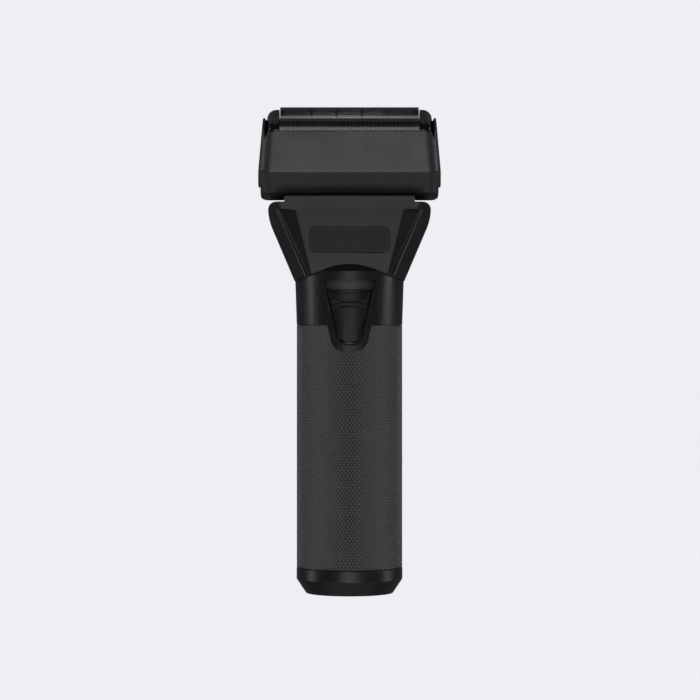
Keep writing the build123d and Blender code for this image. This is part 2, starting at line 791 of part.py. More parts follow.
def make_motor_mount():
    """The disc that the motor hangs from, resting on the chassis's top."""
    plate = cylinder(chassis_radius - 0.3, chassis_top, chassis_top + mount_thickness)
    plate -= beyond_flats(flat_y)
    plate -= cylinder(bush_radius + slide_gap, chassis_top - 1, chassis_top + 9, 0, motor_y)
    seat = chassis_top + mount_screw_depth
    for half, y in ((motor_screw_x, motor_y), (mount_screw_x, mount_screw_y)):
        for x in (-half, half):
            plate -= cylinder(screw_radius + 0.1, chassis_top - 1, chassis_top + 9, x, y)
            plate -= cylinder(screw_head_radius + screw_gap, seat, chassis_top + 9, x, y)
    for x in (-deck_leg_x, deck_leg_x):
        for y in (-deck_leg_y, deck_leg_y):
            plate += cylinder(1.5, chassis_top + mount_thickness, deck_bottom, x, y)
    return plate


def make_motor_screws():
    seat = chassis_top + mount_screw_depth
    screws = []
    for x, y, tip in ((-motor_screw_x, motor_y, seat - 2.2), (motor_screw_x, motor_y, seat - 2.2),
                      (-mount_screw_x, mount_screw_y, seat - 6), (mount_screw_x, mount_screw_y, seat - 6)):
        screw = cylinder(screw_head_radius, seat, seat + 1.2, x, y) + cylinder(screw_radius, tip, seat, x, y)
        screws.append(screw - cylinder(screw_radius * socket_share, seat + 0.6, seat + 2, x, y))
    return group(screws)


# ---- rotor ----
def make_motor_shaft():
    bottom = can_bottom - end_cap_height - 0.5
    return cylinder(shaft_radius, bottom, cam_bottom + 2 * cam_height + 1.2, 0, motor_y)


def make_armature_core():
    low = can_bottom + core_margin + 1
    high = can_top - core_margin
    core = cylinder(hub_radius, low, high, 0, motor_y)
    for angle in (90, 210, 330):
        arm = block((0, -arm_half_width, low), (core_radius - 0.6, arm_half_width, high))
        shoe = ring(core_radius, core_radius - 1.0, low, high) & block((0, -4.4, 0), (20, 4.4, 200))
        core += Pos(0, motor_y, 0) * Rot(0, 0, angle) * (arm + shoe)
    return core - cylinder(shaft_radius, 60, 130, 0, motor_y)


def make_armature_windings():
    low = can_bottom + core_margin + 1
    high = can_top - core_margin
    coils = []
    for angle in (90, 210, 330):
        coil = block((hub_radius + 0.4, -2.7, low - 0.8), (core_radius - 1.2, 2.7, high + 0.6))
        coil -= block((hub_radius - 0.2, -arm_half_width, low), (core_radius, arm_half_width, high))
        coil = coil & cylinder(core_radius - 1.05, 60, 140)
        coils.append(Pos(0, motor_y, 0) * Rot(0, 0, angle) * coil)
    return group(coils)


def make_eccentric_cam():
    """Two discs on one hub, thrown opposite ways, so the two cutters move against each other."""
    cam = cylinder(hub_radius, cam_bottom - 1.4, cam_bottom + 2 * cam_height + 0.8, 0, motor_y)
    cam += cylinder(cam_radius, cam_bottom, cam_bottom + cam_height, 0, motor_y + throw)
    upper = cam_bottom + bridge_step
    cam += cylinder(cam_radius, upper, upper + cam_height, 0, motor_y - throw)
    return cam - cylinder(shaft_radius, 100, 140, 0, motor_y)


# ---- drive ----
def make_drive_frame():
    """A deck under the bridges, with ears that hold a guide rod at the front and one at the back."""
    deck_back = back_rod_y + 1.0
    deck = block((-deck_half_width, front_rod_y - 1.6, deck_bottom),
                 (deck_half_width, deck_back, deck_bottom + deck_thickness))
    deck -= cylinder(slot_half + 0.3, deck_bottom - 1, deck_bottom + 5, 0, motor_y)
    for y, z in ((front_rod_y, rod_z["front"]), (back_rod_y, rod_z["back"])):
        for side in (-1, 1):
            near, far = sorted((side * (deck_half_width - ear_thickness), side * deck_half_width))
            deck += block((near, y - 1.5, deck_bottom), (far, min(y + 1.5, deck_back), z + 1.5))
        deck -= rod_along_x(rod_radius, y, z, -rod_half_length, rod_half_length)
    for x in (-deck_leg_x, deck_leg_x):
        for y in (-deck_leg_y, deck_leg_y):
            deck -= cylinder(0.7, deck_bottom - 1, deck_bottom + 1, x, y)
    return deck


def make_guide_rods():
    half = rod_half_length - seam
    return group([rod_along_x(rod_radius, front_rod_y, rod_z["front"], -half, half),
                  rod_along_x(rod_radius, back_rod_y, rod_z["back"], -half, half)])


def make_bridge(side):
    """An oscillating bridge: a slotted plate round its cam disc, a lug on the guide rod and the cutter's post."""
    bottom = front_bridge_bottom if side < 0 else back_bridge_bottom
    rod_y = front_rod_y if side < 0 else back_rod_y
    far_y = motor_y - side * (slot_half + 1.2)
    near_y = rod_y + side * 1.6
    low, high = min(far_y, near_y), max(far_y, near_y)
    plate = block((-bridge_half_width, low, bottom), (bridge_half_width, high, bottom + bridge_thickness))
    plate = fillet(plate.edges().filter_by(Axis.Z), 1.5)
    slot = block((-slot_half, motor_y - slot_half, bottom - 1), (slot_half, motor_y + slot_half, bottom + 9))
    plate -= slot
    v = side * foil_pitch / 2
    foot = bottom
    if side < 0:
        # the front post stands on a shelf over the cam, carried by an upright at the plate's front edge
        foot = shelf_bottom
        shelf_top = shelf_bottom + shelf_thickness
        plate += block((-shelf_half_width, low, bottom), (shelf_half_width, low + 2.0, shelf_top))
        plate += block((-shelf_half_width, low, shelf_bottom), (shelf_half_width, shelf_back_y, shelf_top))
    post = head_place * cylinder(post_radius, -16, post_top_w, 0, v)
    post = post & block((-9, -40, foot), (9, 40, 200))
    collar = head_place * cylinder(post_radius + 0.9, post_collar_w, post_collar_w + post_collar_height, 0, v)
    bridge = plate + post + collar
    return bridge - rod_along_x(rod_radius + rotor_gap, rod_y, bottom + bridge_thickness / 2, -20, 20)


def make_cutter_spring(side):
    low = post_collar_w + post_collar_height
    high = holder_bottom_w - foil_travel - 0.1
    return head_place * ring(post_radius + 0.75, post_radius + 0.15, low, high, 0, side * foil_pitch / 2)


# ---- head base ----
def head_shell(width_low, depth_low, w_low, width_high, depth_high, w_high):
    """A block with rounded upright corners that widens from one level to another."""
    low = Pos(0, 0, w_low) * RectangleRounded(2 * width_low, 2 * depth_low, head_corner)
    high = Pos(0, 0, w_high) * RectangleRounded(2 * width_high, 2 * depth_high, head_corner)
    return loft([low, high], ruled=True)


def button_place(side, x):
    """The middle of a release button's outline, at a distance x along the head, facing out."""
    return Location(Plane((side * x, 0, button_w), x_dir=(0, 1, 0), z_dir=(side, 0, 0)))


spring_inner_x = part_half_width - button_thickness - button_travel - spring_room


def make_head_base():
    split = part_w - seam
    base = head_shell(edge_half_width, edge_half_depth, edge_w, part_half_width, part_half_depth, split)
    belly = make_face([Line((-edge_half_depth, edge_w), (edge_half_depth, edge_w)),
                       ThreePointArc((edge_half_depth, edge_w), (0, belly_w), (-edge_half_depth, edge_w))])
    belly = extrude(Plane.YZ * belly, edge_half_width, both=True)
    end_outline = RectangleRounded(2 * edge_half_width, edge_w - belly_w + 10, belly_corner)
    end_outline = Pos(0, (belly_w + edge_w) / 2 + 5) * end_outline
    belly = belly & extrude(Plane.XZ * end_outline, 30, both=True)
    plan = extrude(RectangleRounded(2 * edge_half_width, 2 * edge_half_depth, head_corner), 20)
    base += belly & plan
    base -= block((-collar_half_width - 0.3, -20, -5), (collar_half_width + 0.3, 20, seat_w))
    base += block((-head_cavity_x - lip_thickness, -head_cavity_v - lip_thickness, split - 1),
                  (head_cavity_x + lip_thickness, head_cavity_v + lip_thickness, split + lip_height))
    base -= block((-head_cavity_x, -head_cavity_v, seat_w + floor_thickness), (head_cavity_x, head_cavity_v, 40))
    for side in (-1, 1):
        v = side * foil_pitch / 2
        base -= Pos(0, v, 0) * block((-throw - post_radius - post_slot_gap, -post_radius - post_slot_gap, 0),
                                     (throw + post_radius + post_slot_gap, post_radius + post_slot_gap, 20))
        hole = RectangleRounded(button_depth + 2 * button_gap, button_height + 2 * button_gap,
                                button_corner + button_gap)
        base -= button_place(side, spring_inner_x) * extrude(hole, 9)
    for x, v in head_boss_places():
        base -= cylinder(screw_radius + 0.1, 0, 20, x, v)
    return head_place * base


def make_head_gasket():
    outer = block((-collar_half_width + 0.4, -edge_half_depth + 1.0, seat_w - gasket_thickness),
                  (collar_half_width - 0.4, edge_half_depth - 1.0, seat_w))
    inner = block((-gasket_half_opening, -edge_half_depth + 3, 0), (gasket_half_opening, edge_half_depth - 3, 20))
    gasket = outer - inner
    for x, v in head_boss_places():
        gasket -= cylinder(screw_radius + 0.2, 0, 20, x, v)
    return head_place * gasket


def make_head_screws():
    seat = seat_w + floor_thickness
    screws = []
    for x, v in head_boss_places():
        screw = cylinder(screw_head_radius, seat, seat + screw_head_height, x, v)
        screw += cylinder(screw_radius, head_screw_tip, seat, x, v)
        screws.append(head_place * (screw - cylinder(screw_radius * socket_share, seat + 0.7, seat + 3, x, v)))
    return group(screws)


def make_post_seals():
    """Rubber rings on the head's floor that close the slots round the moving posts."""
    bottom = seat_w + floor_thickness
    outer_half = post_radius + 2.2
    inner_half = post_radius + 0.25
    outline = RectangleRounded(2 * (throw + outer_half), 2 * outer_half, outer_half - 0.4)
    opening = RectangleRounded(2 * (throw + inner_half), 2 * inner_half, inner_half - 0.15)
    seal = extrude(outline - opening, 1.4)
    return group(head_place * (Pos(0, side * foil_pitch / 2, bottom) * seal) for side in (-1, 1))


# ---- release buttons ----
def make_release_button(side):
    button = extrude(RectangleRounded(button_depth, button_height, button_corner), button_thickness + button_proud)
    button = fillet(button.faces().sort_by(Axis.Z)[-1].edges(), 0.5)
    for step in range(-2, 3):
        groove = Box(0.5, button_height - 2.4, 0.5)
        button -= Pos(step * button_groove_pitch, 0, button_thickness + button_proud) * groove
    return head_place * (button_place(side, part_half_width - button_thickness) * button)


def make_release_springs():
    spring = ring(1.8, 1.2, 0.02, spring_room - 0.05)
    return group(head_place * (button_place(side, spring_inner_x) * spring) for side in (-1, 1))


# ---- lift-off foil frame ----
def make_foil_frame():
    frame = head_shell(part_half_width, part_half_depth, part_w, rim_half_width, rim_half_depth - 0.25, frame_blank_w)
    crest = rim_w + rim_crest
    rim_line = [(-30, rim_w), (-rim_half_depth, rim_w), (-3, crest), (1, crest), (rim_half_depth, rim_back_w),
                (30, rim_back_w), (30, 60), (-30, 60)]
    frame -= prism_x(rim_line, 40)
    frame -= block((-frame_cavity_x, -frame_cavity_v, 10), (frame_cavity_x, frame_cavity_v, 60))
    lip_x = head_cavity_x + lip_thickness + lip_gap
    lip_v = head_cavity_v + lip_thickness + lip_gap
    frame -= block((-lip_x, -lip_v, 10), (lip_x, lip_v, ledge_w))
    for side in (-1, 1):
        inner, outer = sorted((side * ledge_inner_x, side * (frame_cavity_x + 0.3)))
        ledge_v = frame_cavity_v + 0.3
        frame += block((inner, -ledge_v, ledge_w), (outer, ledge_v, ledge_w + ledge_thickness))
        near, far = sorted((side * (head_cavity_x - lug_gap - lug_thickness), side * (head_cavity_x - lug_gap)))
        frame += block((near, -lug_half_depth, lug_bottom_w), (far, lug_half_depth, ledge_w))
    return head_place * frame


def make_end_cheek(side):
    bottom = ledge_w + ledge_thickness
    near, far = sorted((side * cheek_inner_x, side * cheek_outer_x))
    cheek = block((near, -cheek_half_depth, bottom), (far, cheek_half_depth, cheek_top_w))
    ends = cheek.edges().filter_by(Axis.X).filter_by(lambda e: e.center().Z > cheek_top_w - 1)
    cheek = fillet(ends, cheek_round)
    dome = cheek.faces().sort_by(Axis.X)[-1 if side > 0 else 0]
    top_edges = dome.edges().filter_by(lambda e: e.center().Z > bottom + 3)
    cheek = fillet(top_edges, cheek_edge_round)
    return head_place * cheek


def make_centre_bar():
    bottom = ledge_w + ledge_thickness
    bar_half_length = cheek_inner_x - 0.05
    bar = block((-bar_half_length, -bar_half_depth, bottom), (bar_half_length, bar_half_depth, bar_top_w))
    bar = chamfer(bar.edges().filter_by(Axis.X).sort_by(Axis.Z)[-2:], bar_chamfer)
    return head_place * bar


def make_foil_springs():
    bottom = ledge_w + ledge_thickness
    springs = []
    for side in (-1, 1):
        for v in (-foil_pitch / 2, foil_pitch / 2):
            x = side * (foil_half_length - carrier_length / 2)
            springs.append(head_place * cylinder(0.5, bottom, bottom + 0.8, x, v))
    return group(springs)


# ---- foils and cutters, made about v = 0 and moved to their place ----
def half_round(radius, skirt_w, half_length):
    """A bar with a round top and straight skirts, along x."""
    outline = make_face([Line((-radius, foil_centre_w), (-radius, skirt_w)), Line((-radius, skirt_w), (radius, skirt_w)),
                         Line((radius, skirt_w), (radius, foil_centre_w)),
                         ThreePointArc((radius, foil_centre_w), (0, foil_centre_w + radius), (-radius, foil_centre_w))])
    return extrude(Plane.YZ * outline, half_length, both=True)


def at_foil(side, piece):
    return head_place * (Pos(0, side * foil_pitch / 2, 0) * piece)


def make_foil(side):
    sheet = half_round(foil_radius, foil_skirt_w, foil_half_length)
    sheet -= half_round(foil_radius - foil_sheet, foil_skirt_w - 1, foil_half_length + 1)
    return at_foil(side, sheet)


def make_foil_carriers(side):
    carriers = []
    bar = half_round(foil_radius - foil_sheet, foil_skirt_w - 0.4, foil_half_length)
    for end in (-1, 1):
        near, far = sorted((end * (foil_half_length - carrier_length), end * foil_half_length))
        carriers.append(at_foil(side, bar & block((near, -9, 0), (far, 9, 60))))
    return group(carriers)


def make_cutter_holder(side):
    holder = block((-cutter_half_length, -holder_half_depth, holder_bottom_w),
                   (cutter_half_length, holder_half_depth, holder_top_w))
    holder = fillet(holder.edges().filter_by(Axis.Z), 1.0)
    holder -= cylinder(post_radius + 0.1, holder_bottom_w - 1, post_top_w + foil_travel + 0.3)
    return at_foil(side, holder)


def make_cutter_blades(side):
    radius = foil_radius - foil_sheet - cutter_gap
    count = int((2 * cutter_half_length - 1) / blade_pitch)
    start = -(count - 1) * blade_pitch / 2
    foot = blade_foot_half_depth
    profile = make_face([Line((-foot, holder_top_w), (foot, holder_top_w)),
                         Line((foot, holder_top_w), (radius, foil_centre_w)),
                         ThreePointArc((radius, foil_centre_w), (0, foil_centre_w + radius), (-radius, foil_centre_w)),
                         Line((-radius, foil_centre_w), (-foot, holder_top_w))])
    blade = extrude(Plane.YZ * profile, blade_thickness / 2, both=True)
    blade -= rod_along_x(blade_hole_radius, 0, foil_centre_w, -5, 5)
    return group(at_foil(side, Pos(start + i * blade_pitch, 0, 0) * blade) for i in range(count))


# ---- all nodes ----
def make_nodes():
    chassis = make_chassis()
    neck = make_neck()
    return {
        "base_cap": make_base_cap(),
        "charging_contacts": make_charging_contacts(),
        "base_screws": make_base_screws(),
        "battery_case": make_battery_case(),
        "battery_cell": make_battery_cell(),
        "protection_board": make_protection_board(),
        "battery_lid": make_battery_lid(),
        "battery_terminals": make_battery_terminals(),
        "catch_button": make_catch_button(),
        "catch_spring": make_catch_spring(),
        "grip_sleeve": make_grip_sleeve(),
        "chassis_front": front_half(chassis),
        "chassis_back": back_half(chassis),
        "chassis_screws": make_chassis_screws(),
        "bay_contacts": make_bay_contacts(),
        "neck_front_shell": front_half(neck),
        "neck_back_shell": back_half(neck),
        "neck_screws": make_neck_screws(),
        "badge_plate": make_badge_plate(),
        "switch_slider": make_switch_slider(),
        "switch_carriage": make_switch_carriage(),
        "switch_lever": make_switch_lever(),
        "circuit_board": make_circuit_board(),
        "slide_switch": make_slide_switch(),
        "board_components": make_board_components(),
        "motor_can": make_motor_can(),
        "motor_end_cap": make_motor_end_cap(),
        "motor_bushings": make_motor_bushings(),
        "motor_magnets": make_motor_magnets(),
        "motor_mount": make_motor_mount(),
        "motor_screws": make_motor_screws(),
        "motor_shaft": make_motor_shaft(),
        "armature_core": make_armature_core(),
        "armature_windings": make_armature_windings(),
        "eccentric_cam": make_eccentric_cam(),
        "drive_frame": make_drive_frame(),
        "guide_rods": make_guide_rods(),
        "front_bridge": make_bridge(-1),
        "back_bridge": make_bridge(1),
        "front_cutter_spring": make_cutter_spring(-1),
        "back_cutter_spring": make_cutter_spring(1),
        "front_cutter_holder": make_cutter_holder(-1),
        "back_cutter_holder": make_cutter_holder(1),
        "front_cutter_blades": make_cutter_blades(-1),
        "back_cutter_blades": make_cutter_blades(1),
        "head_base": make_head_base(),
        "head_gasket": make_head_gasket(),
        "head_screws": make_head_screws(),
        "post_seals": make_post_seals(),
        "left_release_button": make_release_button(-1),
        "right_release_button": make_release_button(1),
        "release_springs": make_release_springs(),
        "foil_frame": make_foil_frame(),
        "end_cheeks": group([make_end_cheek(-1), make_end_cheek(1)]),
        "centre_bar": make_centre_bar(),
        "foil_springs": make_foil_springs(),
        "front_foil": make_foil(-1),
        "back_foil": make_foil(1),
        "front_foil_carriers": make_foil_carriers(-1),
        "back_foil_carriers": make_foil_carriers(1),
    }


os.makedirs("parts", exist_ok=True)
for name, piece in make_nodes().items():
    export_step(piece, "parts/" + name + ".step")
    print(name, len(piece.solids()), round(piece.volume, 1))
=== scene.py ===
import json
import math

import bmesh
import bpy
from mathutils import Matrix, Vector


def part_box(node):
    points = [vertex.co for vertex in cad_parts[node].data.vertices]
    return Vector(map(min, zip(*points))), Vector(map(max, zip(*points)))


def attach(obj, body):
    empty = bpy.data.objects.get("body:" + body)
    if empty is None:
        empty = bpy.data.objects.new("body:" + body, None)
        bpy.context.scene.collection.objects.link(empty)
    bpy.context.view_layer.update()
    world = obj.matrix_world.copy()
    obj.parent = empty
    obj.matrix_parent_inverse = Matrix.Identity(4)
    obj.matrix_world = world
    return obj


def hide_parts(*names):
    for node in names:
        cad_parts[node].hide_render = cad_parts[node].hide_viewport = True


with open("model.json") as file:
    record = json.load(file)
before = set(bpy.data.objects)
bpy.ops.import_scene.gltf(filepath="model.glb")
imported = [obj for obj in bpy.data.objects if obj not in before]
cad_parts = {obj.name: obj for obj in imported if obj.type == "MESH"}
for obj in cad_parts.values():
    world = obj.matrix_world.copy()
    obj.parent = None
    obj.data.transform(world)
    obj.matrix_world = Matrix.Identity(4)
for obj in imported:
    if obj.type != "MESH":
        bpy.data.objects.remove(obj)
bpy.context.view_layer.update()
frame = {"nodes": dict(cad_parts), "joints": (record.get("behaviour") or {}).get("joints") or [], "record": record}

# Cordless two-foil shaver, metres, front towards -Y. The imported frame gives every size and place.
scene = bpy.context.scene
joints = {joint["name"]: joint for joint in frame["joints"]}
bodies = frame["record"]["behaviour"]["bodies"]
bodyOf = {node: body for body, members in bodies.items() for node in members}
slotOf = {node: obj.data.materials[0].name.split(".")[0] for node, obj in frame["nodes"].items()}

# the head leans back: its own up direction is the way that the foil frame lifts off
headUp = Vector(joints["frame_lift"]["axis"]).normalized()
headLean = math.atan2(-headUp.y, headUp.z)
headTurn = Matrix.Rotation(headLean, 4, "X")
print("frame read,", len(bodyOf), "nodes, head leans", round(math.degrees(headLean), 1), "degrees")


def headBox(nodeName):
    # lowest and highest corner of a node, measured along the leaning head
    points = [headTurn.inverted() @ v.co for v in frame["nodes"][nodeName].data.vertices]
    low = Vector([min(p[i] for p in points) for i in range(3)])
    high = Vector([max(p[i] for p in points) for i in range(3)])
    return low, high


def put(tree, kind, inputs=None, **settings):
    # one node, its inputs linked or set, its settings given by name
    node = tree.nodes.new(kind)
    for key, value in settings.items():
        setattr(node, key, value)
    for key, value in (inputs or {}).items():
        if isinstance(value, bpy.types.NodeSocket):
            tree.links.new(value, node.inputs[key])
        else:
            node.inputs[key].default_value = value
    return node


def calc(tree, operation, first, second=0.0, third=0.0):
    return put(tree, "ShaderNodeMath", {0: first, 1: second, 2: third}, operation=operation).outputs[0]


def vector(tree, x=0.0, y=0.0, z=0.0):
    return put(tree, "ShaderNodeCombineXYZ", {0: x, 1: y, 2: z}).outputs[0]


def product(tree, first, *others):
    for other in others:
        first = calc(tree, "MULTIPLY", first, other)
    return first


def splitPlace(tree):
    # the point's own x, y and z inside a geometry tree
    return put(tree, "ShaderNodeSeparateXYZ", {0: put(tree, "GeometryNodeInputPosition").outputs[0]}).outputs


def addSocket(tree, name, kind, value=None, output=False):
    item = tree.interface.new_socket(name=name, in_out="OUTPUT" if output else "INPUT", socket_type=kind)
    if value is not None:
        item.default_value = value
    return item


def addPiece(mesh, name, nodeNames, material=None):
    # a finished piece: rides with the body of the nodes that it stands for
    piece = bpy.data.objects.new(name, mesh)
    scene.collection.objects.link(piece)
    if material:
        mesh.materials.clear()
        mesh.materials.append(material)
    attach(piece, bodyOf[nodeNames[0]])
    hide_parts(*nodeNames)
    return piece


def runTree(tree, name, values):
    # evaluate a geometry tree once and hand back a plain mesh
    holder = bpy.data.objects.new(name + "Maker", bpy.data.meshes.new(name + "Maker"))
    scene.collection.objects.link(holder)
    modifier = holder.modifiers.new("make", "NODES")
    modifier.node_group = tree
    for item in tree.interface.items_tree:
        if item.in_out == "INPUT" and item.name in values:
            modifier[item.identifier] = values[item.name]
    bpy.context.view_layer.update()
    graph = bpy.context.evaluated_depsgraph_get()
    mesh = bpy.data.meshes.new_from_object(holder.evaluated_get(graph), depsgraph=graph)
    mesh.name = name
    holder.modifiers.remove(modifier)
    bpy.data.objects.remove(holder)
    return mesh


def geometryTree(name, sizes):
    # a tree with a geometry socket and one named input for each size and for the material
    tree = bpy.data.node_groups.new(name, "GeometryNodeTree")
    addSocket(tree, "Geometry", "NodeSocketGeometry")
    for key, value in sizes.items():
        if isinstance(value, bpy.types.Material):
            addSocket(tree, key, "NodeSocketMaterial")
        else:
            addSocket(tree, key, "NodeSocketInt" if isinstance(value, int) else "NodeSocketFloat", value)
    addSocket(tree, "Geometry", "NodeSocketGeometry", output=True)
    start = tree.nodes.new("NodeGroupInput").outputs
    return tree, {socket.name: socket for socket in start if socket.name != "Geometry"}


def endTree(tree, geometry, material):
    real = put(tree, "GeometryNodeRealizeInstances", {0: geometry}).outputs[0]
    shaded = put(tree, "GeometryNodeSetShadeSmooth", {0: real, 2: False}).outputs[0]
    painted = put(tree, "GeometryNodeSetMaterial", {0: shaded, "Material": material}).outputs[0]
    tree.links.new(painted, put(tree, "NodeGroupOutput").inputs[0])


def shaderGroup(name, inputs, outputs):
    tree = bpy.data.node_groups.new(name, "ShaderNodeTree")
    for key, value in inputs.items():
        kind = "NodeSocketColor" if isinstance(value, tuple) else "NodeSocketFloat"
        addSocket(tree, key, kind, value)
    for key, kind in outputs.items():
        addSocket(tree, key, kind, output=True)
    return tree, tree.nodes.new("NodeGroupInput").outputs, tree.nodes.new("NodeGroupOutput").inputs


# how the shared surface effects behave: edges go by the cosine of their turn, the rest are shares of 1
effectSizes = {
    "patchRoughness": 0.6, "wearFrom": 0.995, "wearTo": 0.86, "wearSpots": (0.42, 0.62),
    "dustFaces": (0.2, 1.0), "dustSpecks": (0.56, 0.75), "dustColour": (0.25, 0.25, 0.24),
    "darker": 0.82, "lighter": 1.15, "patchSpan": (0.3, 0.7), "bumpStrength": 0.6, "coatRoughness": 0.12,
}


def spread(tree, value, span, low=0.0, high=1.0):
    # stretches a span of values to low..high
    return put(tree, "ShaderNodeMapRange", {"Value": value, "From Min": span[0], "From Max": span[1],
                                            "To Min": low, "To Max": high}).outputs[0]


def makeGrainGroup():
    # fine moulded or sprayed grain, with a slow unevenness for the roughness
    tree, given, result = shaderGroup("fineGrain", {"Size": 4000.0, "Patch": 60.0},
                                      {"Height": "NodeSocketFloat", "Patchy": "NodeSocketFloat"})
    place = put(tree, "ShaderNodeTexCoord").outputs["Object"]
    grain = put(tree, "ShaderNodeTexNoise", {"Vector": place, "Scale": given["Size"], "Detail": 3.0})
    patch = put(tree, "ShaderNodeTexNoise", {"Vector": place, "Scale": given["Patch"], "Detail": 4.0,
                                             "Roughness": effectSizes["patchRoughness"]})
    tree.links.new(grain.outputs[0], result["Height"])
    tree.links.new(patch.outputs[0], result["Patchy"])
    return tree


def makeWearGroup():
    # a thin worn line along sharp edges, broken up by noise
    tree, given, result = shaderGroup("edgeWear", {"Radius": 0.0003, "Break Up": 900.0, "Amount": 0.5},
                                      {"Wear": "NodeSocketFloat"})
    place = put(tree, "ShaderNodeTexCoord").outputs["Object"]
    rounded = put(tree, "ShaderNodeBevel", {"Radius": given["Radius"]}, samples=6).outputs[0]
    true = put(tree, "ShaderNodeNewGeometry").outputs["Normal"]
    dot = put(tree, "ShaderNodeVectorMath", {0: rounded, 1: true}, operation="DOT_PRODUCT").outputs["Value"]
    edge = spread(tree, dot, (effectSizes["wearFrom"], effectSizes["wearTo"]))
    noise = put(tree, "ShaderNodeTexNoise", {"Vector": place, "Scale": given["Break Up"], "Detail": 4.0})
    spots = spread(tree, noise.outputs[0], effectSizes["wearSpots"])
    tree.links.new(product(tree, edge, spots, given["Amount"]), result["Wear"])
    return tree


def makeDustGroup():
    # pale dust that settles on faces that look up
    tree, given, result = shaderGroup("dust", {"Amount": 0.1, "Size": 1500.0}, {"Dust": "NodeSocketFloat"})
    place = put(tree, "ShaderNodeTexCoord").outputs["Object"]
    normal = put(tree, "ShaderNodeNewGeometry").outputs["Normal"]
    up = put(tree, "ShaderNodeSeparateXYZ", {0: normal}).outputs["Z"]
    faceUp = spread(tree, up, effectSizes["dustFaces"])
    specks = put(tree, "ShaderNodeTexNoise", {"Vector": place, "Scale": given["Size"], "Detail": 5.0})
    thin = spread(tree, specks.outputs[0], effectSizes["dustSpecks"])
    tree.links.new(product(tree, faceUp, thin, given["Amount"]), result["Dust"])
    return tree


def makeBrushGroup():
    # long fine scratches, as on drawn or ground metal, with a scale along them and one across
    tree, given, result = shaderGroup("brushed", {"Along": 80.0, "Across": 6000.0},
                                      {"Height": "NodeSocketFloat"})
    place = put(tree, "ShaderNodeTexCoord").outputs["Object"]
    stretch = vector(tree, given["Along"], given["Across"], given["Across"])
    scaled = put(tree, "ShaderNodeVectorMath", {0: place, 1: stretch}, operation="MULTIPLY").outputs[0]
    lines = put(tree, "ShaderNodeTexNoise", {"Vector": scaled, "Scale": 1.0, "Detail": 3.0})
    tree.links.new(lines.outputs[0], result["Height"])
    return tree


grainGroup = makeGrainGroup()
wearGroup = makeWearGroup()
dustGroup = makeDustGroup()
brushGroup = makeBrushGroup()
print("shader groups made")


def useGroup(tree, group, **values):
    node = put(tree, "ShaderNodeGroup", node_tree=group)
    for key, value in values.items():
        node.inputs[key].default_value = value
    return node


def mixColour(tree, factor, first, second):
    node = put(tree, "ShaderNodeMix", {0: factor}, data_type="RGBA")
    for index, value in ((6, first), (7, second)):
        if isinstance(value, bpy.types.NodeSocket):
            tree.links.new(value, node.inputs[index])
        else:
            node.inputs[index].default_value = (*value, 1.0)
    return node.outputs[2]


def makeFinish(name, colour, rough, metal=0.0, wornColour=(0.05, 0.05, 0.05), wear=0.4, grain=4000.0,
               grainDepth=0.00001, roughSpread=0.12, dust=0.05, specular=0.5, coat=0.0, brushed=None):
    # a full surface: uneven colour, worn edges, dust, patchy roughness and a grained normal
    material = bpy.data.materials.new(name)
    material.use_nodes = True
    tree = material.node_tree
    shader = tree.nodes["Principled BSDF"]
    fine = useGroup(tree, grainGroup, Size=grain)
    worn = useGroup(tree, wearGroup, Amount=wear).outputs["Wear"]
    dusty = useGroup(tree, dustGroup, Amount=dust).outputs["Dust"]
    darker = tuple(c * effectSizes["darker"] for c in colour)
    lighter = tuple(min(1.0, c * effectSizes["lighter"]) for c in colour)
    base = mixColour(tree, fine.outputs["Patchy"], darker, lighter)
    base = mixColour(tree, worn, base, wornColour)
    base = mixColour(tree, dusty, base, effectSizes["dustColour"])
    tree.links.new(base, shader.inputs["Base Color"])
    patchy = spread(tree, fine.outputs["Patchy"], effectSizes["patchSpan"], rough - roughSpread / 2,
                    rough + roughSpread / 2)
    tree.links.new(calc(tree, "ADD", patchy, dusty), shader.inputs["Roughness"])
    height = fine.outputs["Height"]
    if brushed:
        height = useGroup(tree, brushGroup, Along=brushed[0], Across=brushed[1]).outputs["Height"]
    bump = put(tree, "ShaderNodeBump", {"Height": height, "Strength": effectSizes["bumpStrength"],
                                        "Distance": grainDepth})
    tree.links.new(bump.outputs[0], shader.inputs["Normal"])
    shader.inputs["Metallic"].default_value = metal
    shader.inputs["Specular IOR Level"].default_value = specular
    shader.inputs["Coat Weight"].default_value = coat
    shader.inputs["Coat Roughness"].default_value = effectSizes["coatRoughness"]
    return material


